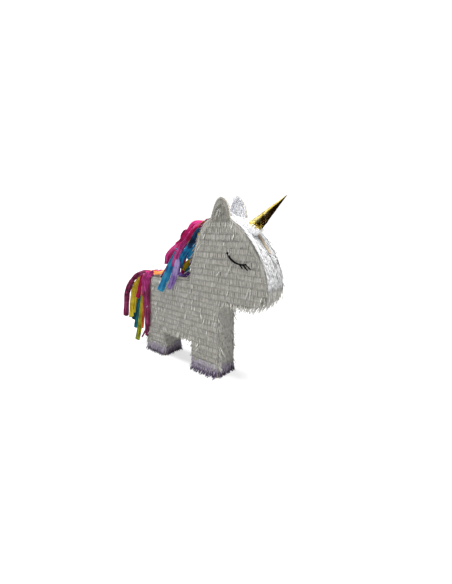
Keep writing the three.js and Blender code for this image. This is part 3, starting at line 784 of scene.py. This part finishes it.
hoofFringe("frontHoofFringe", "hoof_fringe_front", heel, chest, rightSplay=1.3)
hoofFringe("rearHoofFringe", "hoof_fringe_rear", rump, hock, rightSplay=0.1)
print("hooves done")

foilSizes = {"rings": 46, "spokes": 56, "scrunchedLength": 30.0, "paperInset": 0.6, "tipRadius": 0.5}
hornCollarSizes = {"tabs": 72, "length": 24.0, "spread": 5.0, "splay": 7.0, "below": 6.0}


def hornAxis():
    # The middle of the horn's foot, the way it points, and the way up across it.
    h = hornSeat
    lean = math.radians(h["leanDegrees"])
    seatX, seatZ = facePath.at(seatU, 0.0)
    nearest = np.interp(seatU, facePath.length, np.arange(len(facePath.length)))
    normal = facePath.normal[int(round(nearest))]
    rise = math.atan2(normal[1], normal[0]) - lean
    stand = h["coverGap"] + h["radius"] * math.sin(lean)
    base = Vector((seatX + normal[0] * stand, 0, seatZ + normal[1] * stand))
    axis = Vector((math.cos(rise), 0, math.sin(rise)))
    return base, axis, axis.cross(Vector(alongY))


def hornFoil(base, axis, upward):
    h = hornSeat
    rings, spokes = foilSizes["rings"], foilSizes["spokes"]
    sideways = Vector(alongY)
    places = []
    for i in range(rings):
        t = i / (rings - 1)
        scrunch = max(0.0, 1 - t * h["length"] / foilSizes["scrunchedLength"])
        for j in range(spokes):
            turn = 2 * math.pi * j / spokes
            # The foil is wound on in a spiral whose edges stand proud, and the end at its foot is scrunched.
            fold = (turn / (2 * math.pi) + t * 3.4) % 1.0
            dent = math.sin(turn * 3 + t * 17) * math.sin(t * 31 + turn * 2)
            radius = (h["radius"] - foilSizes["paperInset"]) * (1 - t) + foilSizes["tipRadius"]
            radius += ((fold ** 3 - 0.4) * 0.9 + dent * 0.4) * (1 - t)
            ripple = 1.3 * math.sin(turn * 9 + 1.3 * math.sin(t * 60)) + 0.5 * math.sin(turn * 17 + t * 90)
            radius += scrunch * (ripple - 0.8)
            along = t * h["length"] + scrunch ** 3 * 1.4 * math.sin(turn * 5 + 0.7)
            outward = sideways * math.cos(turn) + upward * math.sin(turn)
            places.append((base + axis * along + outward * radius) * mm)
    faces = []
    for i in range(rings - 1):
        for j in range(spokes):
            following = (j + 1) % spokes
            faces.append((i * spokes + j, i * spokes + following,
                          (i + 1) * spokes + following, (i + 1) * spokes + j))
    faces.append(tuple(range(spokes - 1, -1, -1)))
    faces.append(tuple((rings - 1) * spokes + j for j in range(spokes)))
    mesh = bpy.data.meshes.new("hornFoil")
    mesh.from_pydata([tuple(place) for place in places], [], faces)
    mesh.materials.append(goldFoil)
    fixPiece(placeObject("hornFoil", mesh), "body", "horn_foil")


def hornCollar(base, axis, upward):
    # Tissue fluffed up round the foot of the horn hides where it is glued.
    h = hornCollarSizes
    turns = np.linspace(0, 2 * math.pi, h["tabs"], endpoint=False) + dice.normal(0, 0.03, h["tabs"])
    outward = np.cos(turns)[:, None] * alongY + np.sin(turns)[:, None] * np.array(upward)
    lengths = h["length"] * (0.76 - 0.24 * np.sin(turns)) + dice.uniform(-1, 1, h["tabs"]) * h["spread"]
    rise = (lengths[:, None] * tabSteps - h["below"])[:, :, None] * np.array(axis)
    splay = dice.uniform(0, 1, h["tabs"])[:, None] * h["splay"] * tabSteps ** 2
    reach = hornSeat["radius"] + 0.8 + splay - 2.2 * tabSteps
    centre = np.array(base) + rise + outward[:, None, :] * reach[:, :, None]
    around = np.cross(np.array(axis), outward)[:, None, :]
    widths = tabWidths(h["tabs"], least=0.9, most=1.3)
    # Painted light: the fluff round the horn has a light tone in the lightest, glowing copy of the tissue.
    tone = dice.normal(0.5, 0.12, h["tabs"])
    fixPiece(stripsMesh("hornCollar", [tabBatch(centre, around, widths, tone)], paintedLitTissue),
             "body")


hornPlace = hornAxis()
hornFoil(*hornPlace)
hornCollar(*hornPlace)
print("horn done")


def smoothPath(points, step=4.0):
    points = np.array(points, float)
    padded = np.concatenate([[2 * points[0] - points[1]], points, [2 * points[-1] - points[-2]]])
    fine = []
    for i in range(1, len(padded) - 2):
        p0, p1, p2, p3 = padded[i - 1:i + 3]
        for t in np.linspace(0, 1, 12, endpoint=False):
            bend = (2 * p0 - 5 * p1 + 4 * p2 - p3) * t * t + (3 * p1 - p0 - 3 * p2 + p3) * t ** 3
            fine.append(0.5 * (2 * p1 + (p2 - p0) * t + bend))
    fine = np.array([*fine, points[-1]])
    along = runLength(fine)
    wanted = np.linspace(0, along[-1], max(8, int(along[-1] / step)))
    return resample(fine, along, wanted), wanted


crepeStrip = {
    "width": 14.0, "facing": (0.8, -0.55, 0.2), "twist": 0.16, "ruffle": 0.8, "curl": 0.05, "pleat": 0.55,
    "paper": 0.3, "lanePitch": 14.0, "slant": 3.0, "tone": 0.0,
}


def ribbon(points, **changes):
    # A flat strip that faces one way, turns a little as it goes, with lengthwise pleats and ruffled edges.
    strip = {**crepeStrip, **changes}
    centre, along = smoothPath(points)
    tangent = np.gradient(centre, axis=0)
    tangent /= np.linalg.norm(tangent, axis=1, keepdims=True)
    across = np.cross(tangent, np.array(strip["facing"], float))
    across /= np.linalg.norm(across, axis=1, keepdims=True) + 1e-9
    normal = np.cross(across, tangent)
    phase = dice.uniform(0, 6.28)
    turn = (strip["twist"] * np.sin(along / dice.uniform(45, 75) + phase))[:, None]
    c, s = np.cos(turn), np.sin(turn)
    across, normal = across * c + normal * s, normal * c - across * s
    shares = np.linspace(-1, 1, 9)
    grid = np.empty((len(centre), len(shares), 3))
    shades = np.empty((1, len(centre), len(shares)))
    for j, share in enumerate(shares):
        wave = strip["ruffle"] * share ** 2 * np.sin(along / 5.2 + phase * (2 + j) + share)
        pleat = np.sin(share * 6.5 + phase * 3 + 0.7 * np.sin(along / 31 + phase))
        lift = wave + strip["pleat"] * pleat - strip["curl"] * strip["width"] * share * share
        half = strip["width"] / 2 * (1 + 0.05 * np.sin(along / 9 + phase))
        grid[:, j] = centre + across * (share * half)[:, None] + normal * lift[:, None]
        # Painted light and shade: each pleat is a little lighter where it stands out and darker in its
        # valleys.
        shades[0, :, j] = strip["tone"] + 0.10 * pleat + 0.05 * np.sin(along / 13 + share * 4 + phase)
    # The cut end is slanted and nicked.
    nick = np.interp(shares, [-1, 0, 1], dice.uniform(-strip["slant"], strip["slant"], 3))
    grid[-1] += tangent[-1] * nick[:, None]
    return grid[None], strip["paper"], shades


def streamers(name, colour, body, node, ribbons):
    piece = stripsMesh(name, ribbons, crepe[colour])
    piece.data.polygons.foreach_set("use_smooth", [True] * len(piece.data.polygons))
    fixPiece(piece, body, node)
    return piece


def laneStrips(points, lane):
    # Two strips down one of five lanes across the body's width, fanned a little.
    strips = []
    for k in (0, 1):
        shift = dice.uniform(-1, 1, 3) * 3.0
        moved = []
        for i, (x, z) in enumerate(points):
            fan = i / len(points) * 2
            y = lane * crepeStrip["lanePitch"] + dice.uniform(-1.5, 1.5)
            moved.append((x + shift[0] * fan, y, z + shift[2] * fan - k * 2))
        strips.append(ribbon(moved, width=12.0, facing=(-0.7, 0, 0.7), twist=0.3))
    return strips


napePath = Path(runs["nape"])


def behindNape(share, away):
    # A place this far down the nape, as a share of it, and this far behind it.
    x, z = napePath.at(share * napePath.total, away)
    return float(x), float(z)


# Each colour: strips at the side of the neck as (points, width, tone), and a lane's path behind the neck.
maneRibbons = {
    "pink": {
        "side": [
            # This strip's tone is lowered against the strong top light on it: painted shade.
            ([(-13, -16, 435), (-30, -20, 435), (-41, -26, 431), (-53, -30, 416), (-66, -33, 401),
              (-80, -35, 386), (-101, -36, 373)], 19, -0.14),
            ([(-8, -24, 431), (-26, -28, 429), (-42, -33, 413), (-58, -36, 395), (-76, -38, 378)], 12, 0.1),
            ([(-79, -34, 380), (-101, -37, 368), (-120, -39, 356), (-139, -38, 338), (-149, -36, 312)],
             20, 0.0),
        ],
        "lane": -2,
        "path": [behindNape(0.12, 6), behindNape(0.25, 14), behindNape(0.38, 28), behindNape(0.5, 38),
                 (heel - 60, 366), (heel - 84, 344), (heel - 90, 320)],
    },
    "magenta": {
        "side": [
            ([(-39, -37, 410), (-55, -40, 389), (-69, -45, 374), (-83, -49, 352), (-93, -52, 331),
              (-98, -52, 312)], 17, -0.02),
            ([(-58, -30, 414), (-76, -24, 416), (-92, -20, 409), (-98, -21, 399), (-93, -26, 388),
              (-84, -33, 384)], 7, -0.1),
            ([(-147, -33, 312), (-160, -36, 292), (-180, -39, 268)], 8, -0.1),
        ],
        "lane": -1,
        "path": [behindNape(0.18, 6), behindNape(0.3, 18), behindNape(0.42, 34), (heel - 44, 368),
                 (heel - 72, 340), (heel - 84, 304)],
    },
    "red": {
        "side": [
            ([(-3, -30, 430), (-14, -33, 425), (-28, -36, 414), (-43, -38, 399), (-58, -40, 384),
              (-77, -41, 373), (-104, -40, 352), (-126, -38, 326)], 18, 0.0),
            ([(-83, -38, 370), (-104, -41, 354), (-116, -41, 339), (-124, -40, 316)], 9, 0.1),
        ],
        "lane": 0,
        "path": [behindNape(0.1, 6), behindNape(0.26, 22), behindNape(0.4, 40), (heel - 40, 358),
                 (heel - 62, 322), (heel - 68, 286)],
    },
    "yellow": {
        "side": [
            ([(-11, -33, 424), (-14, -35, 410), (-18, -36, 396)], 3, 0.1),
            ([(-21, -37, 407), (-36, -41, 391), (-50, -42, 379)], 8, -0.4),
            ([(-80, 4, 338), (-93, 4, 324), (-106, 0, 311), (-118, -2, 294)], 13, 0.0),
        ],
        "lane": 1,
        "path": [behindNape(0.3, 6), behindNape(0.42, 16), behindNape(0.55, 26), (heel - 30, 330),
                 (heel - 44, 286)],
    },
    "green": {
        "side": [
            ([(-94, 24, 326), (-109, 22, 309), (-121, 20, 295), (-133, 15, 282)], 10, 0.0),
        ],
        "lane": 2,
        "path": [behindNape(0.36, 6), behindNape(0.5, 14), behindNape(0.64, 20), (heel - 26, 310),
                 (heel - 34, 286)],
    },
    "blue": {
        "side": [
            ([(-86, -41, 362), (-98, -42, 346), (-114, -45, 323), (-133, -46, 294), (-154, -46, 264),
              (-182, -44, 226)], 21, 0.1),
            ([(-36, -40, 383), (-53, -42, 363), (-71, -42, 345), (-84, -41, 326), (-93, -39, 309)],
             18, -0.22),
            ([(-26, -34, 382), (-36, -34, 366), (-47, -35, 351), (-57, -36, 338)], 12, -0.12),
        ],
    },
    "purple": {
        "side": [
            ([(-80, -45, 356), (-88, -48, 336), (-92, -49.5, 315), (-99, -50, 296), (-112, -48, 272),
              (-133, -45, 241)], 18, 0.12),
            ([(-80, -41, 352), (-87, -41, 339), (-92, -43, 314), (-96, -43, 290)], 14, -0.25),
            ([(-92, 4, 281), (-120, 0, 279), (-150, -2, 279)], 15, -0.2),
        ],
    },
}

# Shorter strips that lie close behind the neck: colour, lane, where each starts and ends along the nape.
napeStrips = [
    ("pink", -1.2, 0.03, 0.42), ("red", -0.4, 0.05, 0.5), ("magenta", 0.5, 0.04, 0.46),
    ("pink", 1.4, 0.03, 0.4), ("red", 2.1, 0.1, 0.5), ("green", 1.9, 0.3, 0.74),
    ("yellow", 0.9, 0.26, 0.7), ("blue", 0.0, 0.3, 0.72),
    ("purple", -0.9, 0.34, 0.78), ("blue", -1.9, 0.22, 0.62), ("green", -2.0, 0.12, 0.34),
    ("purple", 1.3, 0.46, 0.86),
]


def napeStrip(lane, start, end):
    shares = np.linspace(start, end, 5)
    away = [4, 9, 13, 17, 22]
    places = [behindNape(share, lift + random.uniform(-1, 2)) for share, lift in zip(shares, away)]
    points = [(x, lane * crepeStrip["lanePitch"] + random.uniform(-2, 2), z) for x, z in places]
    return ribbon(points, width=15, facing=(-0.8, -0.2 * lane, 0.5),
                  ruffle=1.4, tone=random.uniform(-0.15, 0.1))


for colour, spec in maneRibbons.items():
    strips = [ribbon(points, width=width, tone=tone) for points, width, tone in spec["side"]]
    if "lane" in spec:
        strips += laneStrips(spec["path"], spec["lane"])
    strips += [napeStrip(*place) for dye, *place in napeStrips if dye == colour]
    streamers("mane" + colour.capitalize(), colour, "body", "mane_" + colour, strips)

tealStrips = [
    ribbon([(-92, 20, 322), (-104, 18, 303), (-111, 12, 290), (-126, 10, 281)], width=14),
    ribbon([(-70, 12, 344), (-84, 10, 322), (-94, 10, 300), (-100, 8, 284)], width=12, tone=-0.2),
]
streamers("maneTeal", "teal", "body", None, tealStrips)

# Dark blue crepe by the neck, its colour set darker still against the top light on it: partly its own colour,
# partly painted shade.
navyStrips = [
    ribbon([(-8, -34, 420), (-19, -37, 408), (-32, -40, 388), (-42, -41, 370)], width=17),
    ribbon([(-18, -29, 414), (-28, -31, 397), (-40, -33, 374), (-50, -35, 358)], width=14, tone=-0.1),
]
streamers("maneNavy", "navy", "body", None, navyStrips)

backStrips = [
    ribbon([(-158, -20, 304), (-184, -24, 288), (-212, -26, 279), (-240, -25, 277), (-256, -22, 277)],
           width=14, facing=(-0.1, -0.6, 0.8), ruffle=1.2, tone=0.3),
    ribbon([(-176, -30, 284), (-200, -32, 278), (-226, -31, 277), (-250, -28, 276)], width=11,
           facing=(-0.1, -0.4, 0.9), tone=0.2),
    ribbon([(-196, -12, 279), (-222, -8, 278), (-246, -10, 277), (-262, -14, 277)], width=12,
           facing=(0, -0.2, 1), tone=-0.1),
]
streamers("backStreamer", "orange", "body", "back_streamer_orange", backStrips)
print("mane done")

# Each colour's loose strips, as (points, width, tone).
tailRibbons = {
    "magenta": [
        ([(rump - 1, -12, 270), (-292, -13, 270), (-308, -14, 267), (-340, -18, 254), (-369, -24, 228),
          (-384, -30, 203), (-385, -34, 180)], 16, -0.04),
        ([(-366, -22, 232), (-384, -32, 196), (-388, -38, 150), (-391, -43, 99)], 19, -0.08),
        ([(-368, -24, 214), (-379, -35, 178), (-381, -40, 140), (-384, -44, 100)], 8, -0.3),
    ],
    "yellow": [
        ([(rump - 1, -4, 270), (-300, -4, 266), (-327, -5, 250), (-355, -8, 227), (-375, -12, 196),
          (-382, -16, 163), (-387, -19, 123), (-391, -22, 90)], 16, 0.25),
        ([(rump - 1, 2, 269), (-318, 0, 250), (-350, -3, 222), (-368, -6, 190), (-378, -10, 150),
          (-384, -14, 106)], 13, 0.05),
    ],
    "orange": [
        ([(rump, -38, 236), (-273, -40, 222), (-278, -40, 180), (-284, -40, 140), (-291, -40, 99),
          (-297, -40, 72)], 8, 0.05),
        ([(rump - 1, 8, 270), (-310, 8, 262), (-340, 8, 238), (-364, 6, 206), (-378, 2, 166),
          (-388, -4, 112)], 14, 0.1),
    ],
    "red": [
        ([(rump - 1, -6, 270), (-300, -8, 266), (-316, -10, 252), (-324, -15, 226), (-332, -18, 198),
          (-344, -20, 172)], 16, -0.05),
    ],
    "teal": [
        ([(rump - 1, 26, 270), (-312, 24, 260), (-350, 20, 222), (-370, 16, 176), (-383, 14, 146),
          (-395, 12, 108), (-407, 10, 64), (-413, 8, 32)], 14, 0.0),
        ([(rump - 1, 18, 269), (-305, 16, 258), (-344, 14, 225), (-366, 10, 180), (-380, 2, 128),
          (-396, -12, 76)], 14, -0.16),
    ],
    "green": [
        ([(rump - 1, -26, 269), (-284, -24, 250), (-295, -26, 207), (-301, -28, 169), (-305, -32, 132),
          (-312, -36, 94), (-320, -40, 54), (-326, -45, 23)], 16, 0.0),
        ([(rump - 1, -22, 268), (-290, -20, 240), (-303, -24, 190), (-310, -28, 150),
          (-317, -32, 104)], 13, -0.18),
    ],
}
for colour, specs in tailRibbons.items():
    strips = [ribbon(points, width=width, tone=tone) for points, width, tone in specs]
    dye = "raspberry" if colour == "magenta" else colour
    node = "tail_" + colour if colour != "red" else None
    streamers("tail" + colour.capitalize(), dye, "tail", node, strips)

# Strips that lie on the rump's right side and cross to the tail, as (points, width, twist, tone).
sideTail = [
    ([(-238, -39, 271), (-244, -43, 256), (-248, -44.5, 211), (-257, -44.5, 146), (-263, -44.5, 96),
      (-270, -44, 50)], 15, 0.1, -0.08),
    ([(-236, -40, 266), (-238, -44, 230), (-241, -44.5, 181), (-247, -44.5, 120), (-250, -44, 90)],
     9, 0.1, -0.15),
    ([(-262, -41, 268), (-263, -44, 230), (-266, -44.5, 170), (-267, -44.5, 110), (-269, -44, 84)],
     10, 0.1, 0.0),
    ([(-258, -45, 110), (-262, -46, 86), (-276, -48, 63), (-291, -49, 42)], 6, 0.16, 0.0),
]
sideFan = [
    ([(-222, -33, 280), (-235, -40, 273), (-251, -45, 257), (-259, -46, 234), (-257, -46, 210)],
     15, 0.2, -0.12),
    ([(-228, -36, 278), (-236, -43, 266), (-242, -45.5, 246), (-245, -45.5, 222), (-249, -45.5, 200)],
     13, 0.2, -0.22),
    ([(-248, -34, 274), (-262, -39, 266), (-272, -42, 247), (-273, -43, 222), (-276, -43, 196)],
     14, 0.2, -0.08),
]


def rumpStrips(strips):
    return [ribbon(points, width=width, facing=(0.3, -1, 0), twist=twist, tone=tone)
            for points, width, twist, tone in strips]


pinkTail = streamers("tailPink", "raspberry", None, "tail_pink", rumpStrips(sideTail))
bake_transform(pinkTail)
pinkFan = streamers("tailPinkFan", "magenta", None, None, rumpStrips(sideFan))
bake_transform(pinkFan)


rootSizes = {"loops": 34, "width": 9.0, "rise": 7.0, "reach": 26.0, "halfSpan": 31.0}


def tailRoot():
    # The glued bundle: crepe ends looped over and pressed down in a crowd along the rump's top edge.
    piles = {"pink": [], "orange": [], "raspberry": []}
    for k in range(rootSizes["loops"]):
        y = rootSizes["halfSpan"] * (2 * k / (rootSizes["loops"] - 1) - 1) + random.uniform(-2, 2)
        rise = random.uniform(1.5, rootSizes["rise"])
        back = random.uniform(0.55, 1.0) * rootSizes["reach"]
        slant = random.uniform(-7, 7)
        points = [(rump + back, y + slant, 269.5 + random.uniform(0, 1.5)),
                  (rump + back * 0.6, y + slant * 0.5, 270 + rise),
                  (rump + back * 0.2, y, 270.5 + rise * 0.6),
                  (rump - 1, y - 1, 270.4 + random.uniform(0, 1.2))]
        dye = random.choice(["pink", "pink", "raspberry", "orange"])
        facing = (0, random.uniform(-0.5, 0.5), 1)
        piles[dye].append(ribbon(points, width=rootSizes["width"], facing=facing, ruffle=1.7, twist=0.5,
                                 tone=random.uniform(-0.2, 0.15)))
    streamers("tailRoot", "pink", "body", "tail_root", piles["pink"])
    streamers("tailRootOrange", "orange", "body", None, piles["orange"])
    streamers("tailRootRaspberry", "raspberry", "body", None, piles["raspberry"])


tailRoot()
print("tail done")


# CAD pieces whose shape is right, and what each is made of.
finishes = [
    (("side_panel", "edge_strip", "hanger_plate", "horn_core", "hatch_flap"), cardboard),
    (("eye_",), blackPaper),
]
for node, thing in nodes.items():
    for starts, material in finishes:
        if node.startswith(starts):
            thing.data.materials.clear()
            thing.data.materials.append(material)

floorSizes = {"half": 14.0, "lift": 0.62, "tableGlow": 0.12}


def studioFloor():
    # Matt white board. Seen directly it also glows, so that the shadow on it stays faint.
    material, tree, place = startMaterial("mattWhiteBoard", {"Roughness": 0.9})
    shader = tree.nodes["Principled BSDF"]
    grain = addNode(tree, "TexNoise", {"Scale": perMetre(33.3)}, {"Vector": place})
    colour = addNode(tree, "ValToRGB", {"stops": [(0.3, "a8a8a8"), (0.7, "aaaaaa")]},
                     {"Fac": grain.outputs["Fac"]})
    tree.links.new(colour.outputs["Color"], shader.inputs["Base Color"])
    glow = addNode(tree, "Emission", {"Color": (1, 1, 1, 1), "Strength": floorSizes["lift"]})
    rays = addNode(tree, "LightPath")
    lifted = addNode(tree, "AddShader", links={0: shader.outputs[0], 1: glow.outputs[0]})
    seen = addNode(tree, "MixShader", links={
        0: rays.outputs["Is Camera Ray"], 1: shader.outputs[0], 2: lifted.outputs[0]})
    # Foil on the object mirrors a dark table instead, as in a dim room.
    table = addNode(tree, "Emission", {"Color": hexToLinear("5a3c14"), "Strength": floorSizes["tableGlow"]})
    final = addNode(tree, "MixShader", links={
        0: rays.outputs["Is Glossy Ray"], 1: seen.outputs[0], 2: table.outputs[0]})
    tree.links.new(final.outputs[0], tree.nodes["Material Output"].inputs["Surface"])
    mesh = bpy.data.meshes.new("studioFloor")
    size = floorSizes["half"]
    mesh.from_pydata([(-size, -size, 0), (size, -size, 0), (size, size, 0), (-size, size, 0)], [],
                     [(0, 1, 2, 3)])
    mesh.materials.append(material)
    placeObject("studioFloor", mesh)


lighting = {
    "topSun": 5.4, "topSunSoftness": 26.0, "from": (0.21, -0.075, 0.97), "skyUp": 0.46, "skyAcross": 0.20,
    "background": 1.05, "darkRoom": 0.03, "softbox": 1.6, "softboxEdges": (0.36, 0.6),
}


def studioLight():
    lamp = bpy.data.lights.new("topLight", "SUN")
    lamp.energy = lighting["topSun"]
    lamp.angle = math.radians(lighting["topSunSoftness"])
    placeObject("topLight", lamp).rotation_euler = Vector(lighting["from"]).to_track_quat("Z", "Y").to_euler()
    world = bpy.data.worlds.new("studioSky")
    world.use_nodes = True
    tree = world.node_tree
    tree.nodes.clear()
    place = addNode(tree, "TexCoord")
    split = addNode(tree, "SeparateXYZ", links={0: place.outputs["Generated"]})
    rays = addNode(tree, "LightPath")
    sky = addNode(tree, "MapRange", {
        "From Min": -0.1, "From Max": 0.9, "To Min": lighting["skyAcross"], "To Max": lighting["skyUp"],
    }, {"Value": split.outputs["Z"]})
    light = addNode(tree, "Background", {"Color": (1, 1, 1, 1)}, {"Strength": sky.outputs[0]})
    # What gloss sees: a dim room with one wide softbox overhead.
    low, high = lighting["softboxEdges"]
    room = addNode(tree, "MapRange", {
        "From Min": low, "From Max": high, "To Min": lighting["darkRoom"], "To Max": lighting["softbox"],
    }, {"Value": split.outputs["Z"]})
    gloss = addNode(tree, "Background", {"Color": (1, 1, 1, 1)}, {"Strength": room.outputs[0]})
    lit = addNode(tree, "MixShader", links={
        0: rays.outputs["Is Glossy Ray"], 1: light.outputs[0], 2: gloss.outputs[0]})
    seen = addNode(tree, "Background", {"Color": (1, 1, 1, 1), "Strength": lighting["background"]})
    both = addNode(tree, "MixShader", links={
        0: rays.outputs["Is Camera Ray"], 1: lit.outputs[0], 2: seen.outputs[0]})
    addNode(tree, "OutputWorld", links={"Surface": both.outputs[0]})
    bpy.context.scene.world = world
    bpy.context.scene.view_settings.view_transform = "Standard"
    bpy.context.scene.view_settings.look = "None"


cameraView = {"place": (567.9, -626.2, 448.1), "turnRadians": 0.6880, "downRadians": 0.2392, "lens": 18.49}


def studioCamera():
    data = bpy.data.cameras.new("studioCamera")
    data.lens = cameraView["lens"]
    data.sensor_width = 36.0
    data.clip_end = 60.0
    camera = placeObject("studioCamera", data)
    turn, down = cameraView["turnRadians"], cameraView["downRadians"]
    forward = Vector((-math.sin(turn) * math.cos(down), math.cos(turn) * math.cos(down), -math.sin(down)))
    right = Vector((math.cos(turn), math.sin(turn), 0))
    up = right.cross(forward)
    spin = Matrix((right, up, -forward)).transposed().to_4x4()
    camera.matrix_world = Matrix.Translation(Vector(cameraView["place"]) * mm) @ spin
    bpy.context.scene.camera = camera


studioFloor()
studioLight()
studioCamera()
print("studio ready")

bpy.context.view_layer.update()
